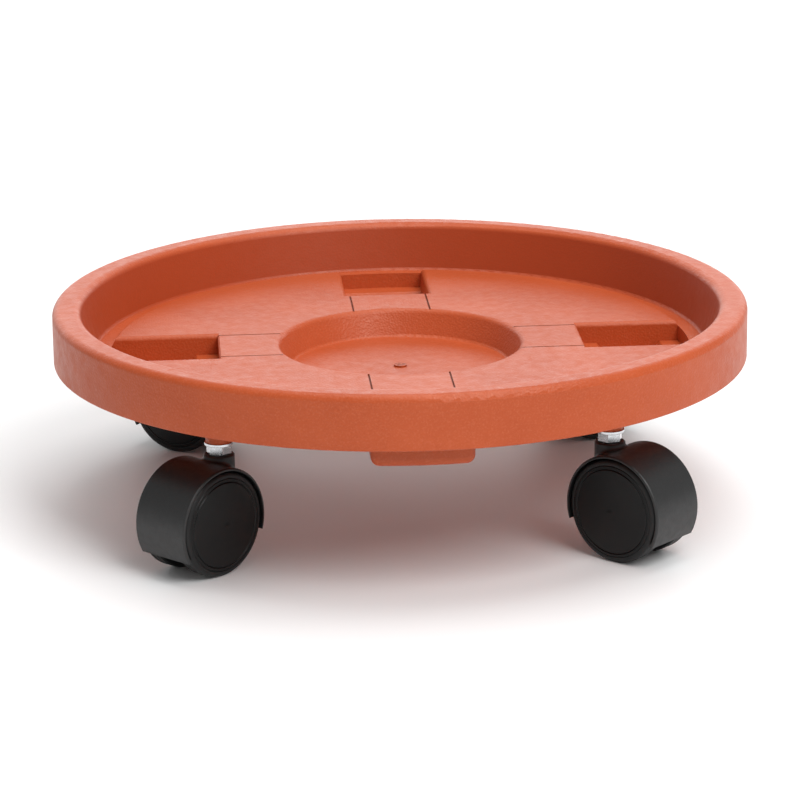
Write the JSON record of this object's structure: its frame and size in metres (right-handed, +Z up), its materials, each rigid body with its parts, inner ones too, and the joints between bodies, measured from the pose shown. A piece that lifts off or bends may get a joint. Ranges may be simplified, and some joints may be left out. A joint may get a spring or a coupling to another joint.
{
  "type": "plant pot caddy",
  "caption": "Round terracotta plastic plant caddy: a rimmed dish with four pockets and a central recess, on swivelling twin-wheel casters.",
  "frame": {"origin": "on the floor under the centre of the tray", "axes": "+Z up along the tray's axis; -Y is the front, with two of the four pockets on the Y axis and two on the X axis; the casters stand on the diagonals"},
  "size_m": [0.32, 0.32, 0.0955],
  "materials": {
    "terracotta_plastic": "fine pebble-grained polypropylene with a satin sheen, terracotta orange-brown",
    "black_nylon": "satin black moulded nylon",
    "black_wheel": "hard black nylon tread, slightly scuffed",
    "black_cap": "smooth satin black cover disc",
    "zinc_steel": "bright zinc-plated steel",
    "spring_steel": "plain spring steel",
    "axle_steel": "plain turned steel"
  },
  "bodies": {
    "tray": {"tray": "terracotta_plastic", "front_right_stem": "zinc_steel", "front_right_retaining_ring": "spring_steel", "front_left_stem": "zinc_steel", "front_left_retaining_ring": "spring_steel", "rear_left_stem": "zinc_steel", "rear_left_retaining_ring": "spring_steel", "rear_right_stem": "zinc_steel", "rear_right_retaining_ring": "spring_steel"},
    "front_right_caster": {"front_right_housing": "black_nylon", "front_right_axle": "axle_steel"},
    "front_right_left_wheel": {"front_right_wheel_left": "black_wheel", "front_right_cap_left": "black_cap"},
    "front_right_right_wheel": {"front_right_wheel_right": "black_wheel", "front_right_cap_right": "black_cap"},
    "front_left_caster": {"front_left_housing": "black_nylon", "front_left_axle": "axle_steel"},
    "front_left_left_wheel": {"front_left_wheel_left": "black_wheel", "front_left_cap_left": "black_cap"},
    "front_left_right_wheel": {"front_left_wheel_right": "black_wheel", "front_left_cap_right": "black_cap"},
    "rear_left_caster": {"rear_left_housing": "black_nylon", "rear_left_axle": "axle_steel"},
    "rear_left_left_wheel": {"rear_left_wheel_left": "black_wheel", "rear_left_cap_left": "black_cap"},
    "rear_left_right_wheel": {"rear_left_wheel_right": "black_wheel", "rear_left_cap_right": "black_cap"},
    "rear_right_caster": {"rear_right_housing": "black_nylon", "rear_right_axle": "axle_steel"},
    "rear_right_left_wheel": {"rear_right_wheel_left": "black_wheel", "rear_right_cap_left": "black_cap"},
    "rear_right_right_wheel": {"rear_right_wheel_right": "black_wheel", "rear_right_cap_right": "black_cap"}
  },
  "joints": [
    {"name": "front_right_swivel", "type": "hinge", "parent": "tray", "child": "front_right_caster", "pos_m": [0.08669, -0.08669, 0.0506], "axis": [0, 0, 1], "continuous": true},
    {"name": "front_right_left_wheel_spin", "type": "hinge", "parent": "front_right_caster", "child": "front_right_left_wheel", "pos_m": [0.0956, -0.0956, 0.0235], "axis": [0.7071, 0.7071, 0], "continuous": true},
    {"name": "front_right_right_wheel_spin", "type": "hinge", "parent": "front_right_caster", "child": "front_right_right_wheel", "pos_m": [0.0956, -0.0956, 0.0235], "axis": [0.7071, 0.7071, 0], "continuous": true},
    {"name": "front_left_swivel", "type": "hinge", "parent": "tray", "child": "front_left_caster", "pos_m": [-0.08669, -0.08669, 0.0506], "axis": [0, 0, 1], "continuous": true},
    {"name": "front_left_left_wheel_spin", "type": "hinge", "parent": "front_left_caster", "child": "front_left_left_wheel", "pos_m": [-0.09575, -0.09544, 0.0235], "axis": [0.6947, -0.7193, 0], "continuous": true},
    {"name": "front_left_right_wheel_spin", "type": "hinge", "parent": "front_left_caster", "child": "front_left_right_wheel", "pos_m": [-0.09575, -0.09544, 0.0235], "axis": [0.6947, -0.7193, 0], "continuous": true},
    {"name": "rear_left_swivel", "type": "hinge", "parent": "tray", "child": "rear_left_caster", "pos_m": [-0.08669, 0.08669, 0.0506], "axis": [0, 0, 1], "continuous": true},
    {"name": "rear_left_left_wheel_spin", "type": "hinge", "parent": "rear_left_caster", "child": "rear_left_left_wheel", "pos_m": [-0.09738, 0.09337, 0.0235], "axis": [-0.5299, -0.848, 0], "continuous": true},
    {"name": "rear_left_right_wheel_spin", "type": "hinge", "parent": "rear_left_caster", "child": "rear_left_right_wheel", "pos_m": [-0.09738, 0.09337, 0.0235], "axis": [-0.5299, -0.848, 0], "continuous": true},
    {"name": "rear_right_swivel", "type": "hinge", "parent": "tray", "child": "rear_right_caster", "pos_m": [0.08669, 0.08669, 0.0506], "axis": [0, 0, 1], "continuous": true},
    {"name": "rear_right_left_wheel_spin", "type": "hinge", "parent": "rear_right_caster", "child": "rear_right_left_wheel", "pos_m": [0.09811, 0.09202, 0.0235], "axis": [-0.4226, 0.9063, 0], "continuous": true},
    {"name": "rear_right_right_wheel_spin", "type": "hinge", "parent": "rear_right_caster", "child": "rear_right_right_wheel", "pos_m": [0.09811, 0.09202, 0.0235], "axis": [-0.4226, 0.9063, 0], "continuous": true}
  ]
}
